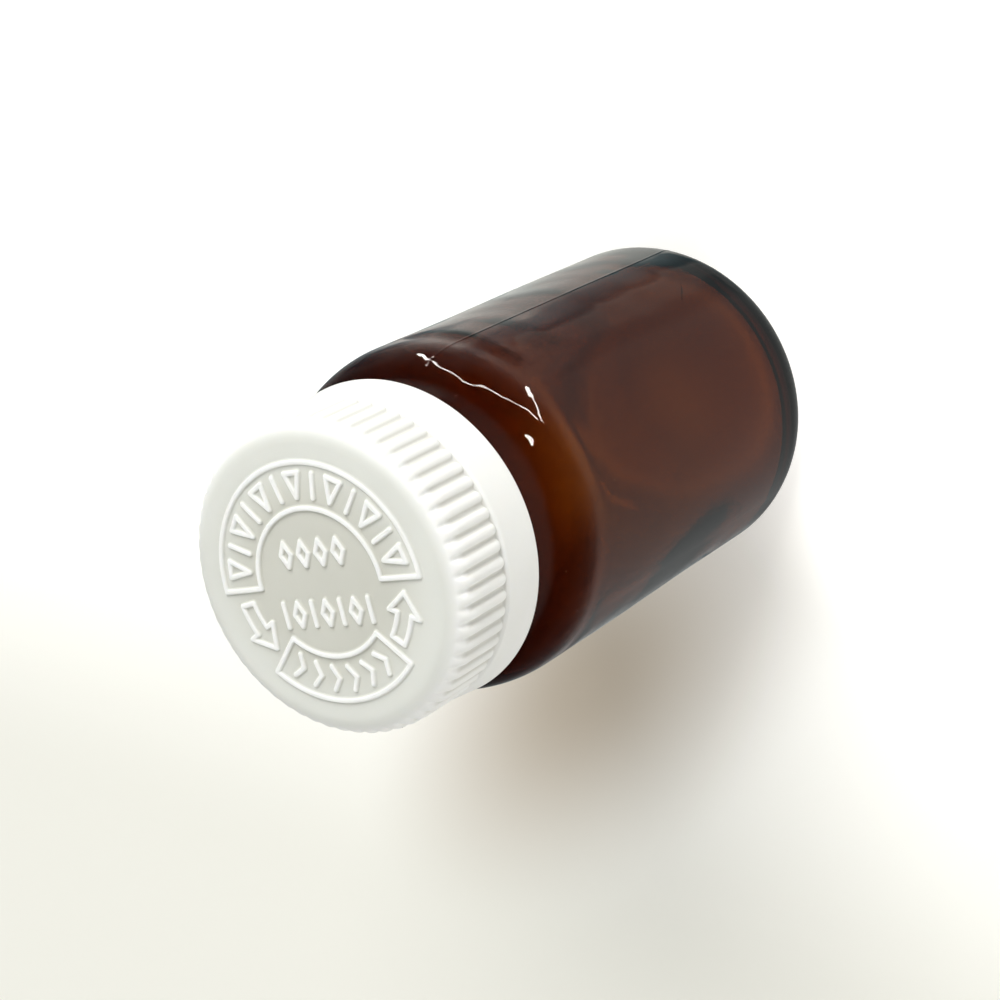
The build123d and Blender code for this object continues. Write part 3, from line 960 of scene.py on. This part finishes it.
def inner_plastic():
    """Smoother, slightly translucent white plastic of the inner cap."""
    material, tree, shader = new_material("cap_inner_plastic")
    shade = spread(tree, noise(tree, 90, 3), 0.3, 0.7, 0.0, 1.0)
    colour = blend_colour(tree, shade, (0.82, 0.83, 0.81, 1), (0.88, 0.885, 0.87, 1))
    tree.links.new(colour, shader.inputs["Base Color"])
    rough = spread(tree, noise(tree, 1100, 2), 0.3, 0.7, 0.3, 0.42)
    tree.links.new(rough, shader.inputs["Roughness"])
    shader.inputs["IOR"].default_value = 1.49
    shader.inputs["Subsurface Weight"].default_value = 0.35
    shader.inputs["Subsurface Radius"].default_value = (1.0, 0.9, 0.8)
    shader.inputs["Subsurface Scale"].default_value = 0.0015
    tree.links.new(bump(tree, noise(tree, 2600, 2), 0.00003, 0.3), shader.inputs["Normal"])
    return material


def pulp_board():
    """Pressed pulp of the liner's backing, with short fibres."""
    material, tree, shader = new_material("liner_pulp")
    fibre = spread(tree, noise(tree, 2400, 5, 0.65), 0.3, 0.7, 0.0, 1.0)
    colour = blend_colour(tree, fibre, (0.62, 0.55, 0.44, 1), (0.8, 0.74, 0.63, 1))
    fleck = spread(tree, noise(tree, 5200, 2), 0.66, 0.72, 0.0, 0.6)
    colour = blend_colour(tree, fleck, colour, (0.36, 0.28, 0.19, 1))
    tree.links.new(colour, shader.inputs["Base Color"])
    rough = spread(tree, noise(tree, 3000, 3), 0.3, 0.7, 0.78, 0.95)
    tree.links.new(rough, shader.inputs["Roughness"])
    tree.links.new(bump(tree, noise(tree, 3800, 4), 0.00008, 0.7), shader.inputs["Normal"])
    return material


def film():
    """Smooth white sealing film with a slight ripple."""
    material, tree, shader = new_material("liner_film")
    shade = spread(tree, noise(tree, 160, 3), 0.3, 0.7, 0.0, 1.0)
    colour = blend_colour(tree, shade, (0.84, 0.84, 0.81, 1), (0.91, 0.91, 0.89, 1))
    tree.links.new(colour, shader.inputs["Base Color"])
    rough = spread(tree, noise(tree, 700, 2), 0.3, 0.7, 0.16, 0.3)
    tree.links.new(rough, shader.inputs["Roughness"])
    tree.links.new(bump(tree, noise(tree, 420, 2), 0.0001, 0.35), shader.inputs["Normal"])
    return material


# ---- Build the pieces --------------------------------------------------------
def place_piece(piece, body, cad_node, slot):
    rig.ride(piece, body)
    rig.replaces(piece, cad_node)
    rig.slot(piece, slot)


place_piece(make_bottle(amber_glass()), "bottle", "bottle", "amber_glass")
place_piece(make_outer_cap(cap_plastic()), "outer_cap", "outer_cap", "cap_shell")
place_piece(make_inner_cap(inner_plastic()), "inner_cap", "inner_cap", "cap_inner")
facing_low, facing_high = (corner[2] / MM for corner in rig.box("liner_facing"))
backing_low, backing_high = (corner[2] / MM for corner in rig.box("liner_backing"))
facing = make_disc("seal_film", facing_low, facing_high, film(), 0.06)
backing = make_disc("seal_backing", backing_low, backing_high, pulp_board(), 0.0)
place_piece(facing, "liner", "liner_facing", "liner_facing")
place_piece(backing, "liner", "liner_backing", "liner_backing")


# ---- Stage -------------------------------------------------------------------
FLOOR_DROP = -0.05           # millimetres, so that the floor never touches the base
FLOOR_GLOW = 0.36
FOOT_GLOW = 0.52             # extra light from under the base
HALO_GLOW = 0.5              # extra light beside the base, where it would shade the floor
HALO_SPOT = (0.038, -0.006, 0.0)
HALO_REACH = (0.042, 0.042, 1.0)
# Painted shadow on the floor: its middle, reach, turn and tint
SHADOW_SPOT = (-0.030, -0.0485, 0.0)
SHADOW_REACH = (0.062, 0.031, 1.0)
SHADOW_TURN = 33.6
SHADOW_TINT = (0.47, 0.415, 0.35)
# Painted shade of the floor's near band
NEAR_TINT = (0.75, 0.75, 0.715)
SHEET = (0.87, 0.86, 0.83)
SHEET_GLOW = (1.0, 0.985, 0.955)
DOME_R = 3800.0
PALE_SIDE = (-0.866, 0.5, 0)
STUDIO_UP = Vector((0.2876, 0.9579, 0.0))      # which way is up in the main view
TOWARDS_TOP = Vector((0, 0, 1))
CAMERA_AIM = Vector((0.584, -1.761, 52.261)) * MM
CAMERA_AZ, CAMERA_EL, CAMERA_ROLL = 18.361, 51.845, -118.903
CAMERA_DISTANCE = 0.33274
CAMERA_LENS = 84.76

# Thin lights that glint on the shoulder: directions from one spot on it, in degrees
SHOULDER_SPOT = Vector((11.0, 19.0, 69.5)) * MM
STRIP_REACH = 0.5
OVER_WAYS = (
    (119, -32), (105, -23), (92, -16), (80, -11), (64, -18), (56, -23), (49, -27), (39, -31),
)
SIDE_WAYS = ((64, -50), (53, -44), (44, -39), (37, -33))
DISC_SIDES = 24


def way(azimuth, elevation):
    """A unit direction from degrees."""
    az, el = math.radians(azimuth), math.radians(elevation)
    return Vector((math.cos(el) * math.cos(az), math.cos(el) * math.sin(az), math.sin(el)))


def make_floor():
    """A wide pale sheet under the object, lit from inside like a light table, with a painted shadow beside the base
    and painted shade in a band on its near side.
    """
    material, tree, shader = new_material("studio_floor")
    place, _ = object_place(tree)

    def patch(spot, turn, size):
        """Distance from a patch's middle, 1 at its edge."""
        mapping = node(tree, "ShaderNodeMapping", vector_type="TEXTURE")
        mapping.inputs["Location"].default_value = spot
        mapping.inputs["Rotation"].default_value = (0, 0, math.radians(turn))
        mapping.inputs["Scale"].default_value = size
        tree.links.new(place, mapping.inputs["Vector"])
        return length_of(tree, mapping.outputs["Vector"])

    # Painted shadow: a warm grey patch on the floor beside the base, where the object's shadow falls in the main view.
    shadow = patch(SHADOW_SPOT, SHADOW_TURN, SHADOW_REACH)
    foot = patch((0, 0, 0), 0, (BODY_R * MM, BODY_R * MM, 1))
    halo = patch(HALO_SPOT, 0, HALO_REACH)
    warm = spread(tree, shadow, 0.05, 1.1, 1.0, 0.0, "SMOOTHSTEP")
    lit = spread(tree, foot, 0.65, 0.95, FLOOR_GLOW + FOOT_GLOW, FLOOR_GLOW, "SMOOTHSTEP")
    beside = spread(tree, halo, 0.25, 1.0, HALO_GLOW, 0.0, "SMOOTHSTEP")
    # Painted shade: the floor is darker in a band on its near side, towards the bottom of the main view.
    upwards = along(tree, place, STUDIO_UP)
    near = spread(tree, upwards, -0.11, -0.03, 1.0, 0.0, "SMOOTHSTEP")
    not_far = spread(tree, upwards, -0.42, -0.19, 0.0, 1.0, "SMOOTHSTEP")
    near = combine(tree, "MULTIPLY", near, not_far)
    for socket, colour in (("Base Color", SHEET), ("Emission Color", SHEET_GLOW)):
        dim = tuple(c * t for c, t in zip(colour, NEAR_TINT))
        shaded = tuple(c * t for c, t in zip(colour, SHADOW_TINT))
        mixed = blend_colour(tree, near, (*colour, 1), (*dim, 1))
        mixed = blend_colour(tree, warm, mixed, (*shaded, 1))
        tree.links.new(mixed, shader.inputs[socket])
    tree.links.new(combine(tree, "ADD", lit, beside), shader.inputs["Emission Strength"])
    shader.inputs["Roughness"].default_value = 0.6
    shader.inputs["Specular IOR Level"].default_value = 0.1
    radii = [0.02, 0.08, 0.3, 1.0, 4.0]
    rings = [ring(r / MM, FLOOR_DROP, even_angles(96)) for r in radii]
    verts, faces = skin(rings, (0, 0, FLOOR_DROP))
    floor = add_mesh("floor", verts, faces, material)
    floor.data.flip_normals()
    floor.visible_glossy = False
    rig.stage(floor)


def make_backdrop():
    """A pale surround, far off, behind everything that is seen or seen through."""
    material, _, shader = new_material("studio_backdrop")
    shader.inputs["Base Color"].default_value = (0, 0, 0, 1)
    shader.inputs["Specular IOR Level"].default_value = 0
    shader.inputs["Emission Color"].default_value = (0.93, 0.93, 0.91, 1)
    shader.inputs["Emission Strength"].default_value = 1.0
    angles = even_angles(96)
    rings = [ring(r, z, angles) for r, z in arc((0, 0), DOME_R, -2, 88, 24)]
    verts, faces = skin(rings, None, (0, 0, DOME_R))
    dome = add_mesh("backdrop", verts, faces, material)
    dome.visible_glossy = False
    dome.visible_diffuse = False
    dome.visible_shadow = False
    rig.stage(dome)


def colour_ramp(tree, value, steps):
    """Colour against a value between -1 and 1."""
    ramp = node(tree, "ShaderNodeValToRGB")
    bar = ramp.color_ramp.elements
    first, last = steps[0], steps[-1]
    bar[0].position, bar[0].color = (first[0] + 1) / 2, (*first[1], 1)
    bar[1].position, bar[1].color = (last[0] + 1) / 2, (*last[1], 1)
    for position, colour in steps[1:-1]:
        bar.new((position + 1) / 2).color = (*colour, 1)
    tree.links.new(spread(tree, value, -1, 1, 0, 1), ramp.inputs["Fac"])
    return ramp.outputs["Color"]


def make_world():
    """The studio round the object: pale low down behind it, dark at its sides."""
    world = bpy.data.worlds.new("studio")
    bpy.context.scene.world = world
    world.use_nodes = True
    tree = world.node_tree
    sky = node(tree, "ShaderNodeTexCoord").outputs["Generated"]
    sideways = along(tree, sky, PALE_SIDE)
    height = colour_ramp(tree, along(tree, sky, (0, 0, 1)), (
        (-1.0, (1.0, 1.0, 0.98)),
        (-0.77, (1.0, 1.0, 1.0)),
        (-0.7, (0.45, 0.47, 0.48)),
        (-0.6, (0.2, 0.21, 0.22)),
        (-0.3, (0.07, 0.07, 0.07)),
        (0.12, (0.05, 0.05, 0.05)),
        (0.35, (0.6, 0.6, 0.59)),
        (1.0, (0.7, 0.7, 0.67)),
    ))
    side = colour_ramp(tree, sideways, (
        (-1.0, (0.34, 0.34, 0.335)),
        (-0.3, (0.31, 0.32, 0.325)),
        (0.27, (0.28, 0.295, 0.30)),
        (0.38, (0.34, 0.36, 0.36)),
        (0.48, (0.64, 0.665, 0.65)),
        (0.75, (0.72, 0.75, 0.74)),
        (1.0, (0.80, 0.82, 0.81)),
    ))
    patches = node(tree, "ShaderNodeTexNoise")
    patches.inputs["Scale"].default_value = 3.4
    patches.inputs["Detail"].default_value = 2.0
    tree.links.new(sky, patches.inputs["Vector"])
    shade = spread(tree, patches.outputs["Fac"], 0.36, 0.5, 0, 1, "SMOOTHSTEP")
    uneven = blend_colour(tree, shade, (0.42, 0.53, 0.57, 1), (1.15, 1.13, 1.09, 1))
    near_edges = spread(tree, sideways, -0.1, 0.25, 0, 1, "SMOOTHSTEP")
    uneven = blend_colour(tree, near_edges, (1.05, 1.05, 1.03, 1), uneven)
    total = height
    for factor in (side, uneven):
        both = node(tree, "ShaderNodeVectorMath", operation="MULTIPLY")
        tree.links.new(total, both.inputs[0])
        tree.links.new(factor, both.inputs[1])
        total = both.outputs["Vector"]
    tree.links.new(total, tree.nodes["Background"].inputs["Color"])
    tree.nodes["Background"].inputs["Strength"].default_value = 1.0


def area_light(name, towards, distance, size, brightness, colour=(1, 1, 1), shadow=True):
    """A soft rectangular light; brightness is what a white card facing it would show."""
    place = CAMERA_AIM + towards.normalized() * distance
    power = brightness * math.pi**2 * distance**2
    light = bpy.data.lights.new(name, "AREA")
    light.shape = "RECTANGLE"
    light.size, light.size_y = size
    light.energy = power
    light.color = colour
    lamp = bpy.data.objects.new(name, light)
    bpy.context.collection.objects.link(lamp)
    lamp.location = place
    lamp.rotation_euler = (CAMERA_AIM - place).to_track_quat("-Z", "Y").to_euler()
    lamp.visible_camera = False
    lamp.visible_glossy = False
    light.use_shadow = shadow


def glow_mesh(name, corners, faces, brightness):
    """A glowing panel that only shows as a glint in smooth surfaces."""
    material, _, shader = new_material(name)
    shader.inputs["Base Color"].default_value = (0, 0, 0, 1)
    shader.inputs["Emission Color"].default_value = (1.0, 0.98, 0.95, 1)
    shader.inputs["Emission Strength"].default_value = brightness
    panel = add_mesh(name, np.array(corners) / MM, faces, material)
    panel.visible_camera = False
    panel.visible_diffuse = False
    panel.visible_transmission = False
    panel.visible_shadow = False
    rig.stage(panel)


def glow_strip(name, ways, width, brightness):
    """A thin bent tube light, along directions seen from the bottle's shoulder."""
    middle = [SHOULDER_SPOT + STRIP_REACH * way(*pair) for pair in ways]
    corners = []
    for index, point in enumerate(middle):
        before, after = middle[max(index - 1, 0)], middle[min(index + 1, len(middle) - 1)]
        across = (after - before).cross(point - SHOULDER_SPOT).normalized() * width * MM / 2
        corners += [point - across, point + across]
    faces = [[2 * i, 2 * i + 1, 2 * i + 3, 2 * i + 2] for i in range(len(middle) - 1)]
    glow_mesh(name, corners, faces, brightness)


def glow_disc(name, direction, radius, brightness):
    """A small round lamp, seen from the bottle's shoulder."""
    centre = SHOULDER_SPOT + STRIP_REACH * direction
    side = direction.cross(Vector((0, 0, 1))).normalized()
    up = side.cross(direction)
    turns = even_angles(DISC_SIDES)
    rim = [centre + radius * MM * (side * math.cos(a) + up * math.sin(a)) for a in turns]
    glow_mesh(name, rim, [list(range(DISC_SIDES))], brightness)


def make_camera():
    """Looks down on the cap from beyond its edge, rolled so that the vial seems to lie."""
    camera = bpy.data.objects.new("camera", bpy.data.cameras.new("camera"))
    bpy.context.collection.objects.link(camera)
    camera.data.sensor_width = 36
    camera.data.lens = CAMERA_LENS
    camera.data.clip_start = 0.01
    away = way(CAMERA_AZ, CAMERA_EL)
    turn = (-away).to_track_quat("-Z", "Y").to_matrix().to_4x4()
    roll = Matrix.Rotation(math.radians(CAMERA_ROLL), 4, "Z")
    place = Matrix.Translation(CAMERA_AIM + away * CAMERA_DISTANCE)
    camera.matrix_world = place @ turn @ roll
    bpy.context.scene.camera = camera


make_floor()
make_backdrop()
make_world()
area_light("key", STUDIO_UP + 0.76 * TOWARDS_TOP, 0.65, (0.38, 0.38), 1.0, (1.0, 1.0, 0.985))
area_light("fill", way(-66, 18), 0.6, (0.6, 0.4), 0.47, (1.0, 0.99, 0.96))
area_light("side", way(200, 26), 0.6, (0.5, 0.4), 0.3, shadow=False)
glow_strip("strip_over", OVER_WAYS, 12.0, 16.0)
glow_strip("strip_side", SIDE_WAYS, 12.0, 16.0)
glow_disc("lamp_spot", way(30, -6.5), 30.0, 22.0)
make_camera()
scene = bpy.context.scene
scene.view_settings.view_transform = "Standard"
scene.view_settings.exposure = 0.0

new_low, new_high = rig.bounds()
with open("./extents.json", "w") as out:
    boxes = {
        "cad": [list(map(float, cad_low)), list(map(float, cad_high))],
        "visual": [list(map(float, new_low)), list(map(float, new_high))],
    }
    out.write(__import__("json").dumps(boxes))
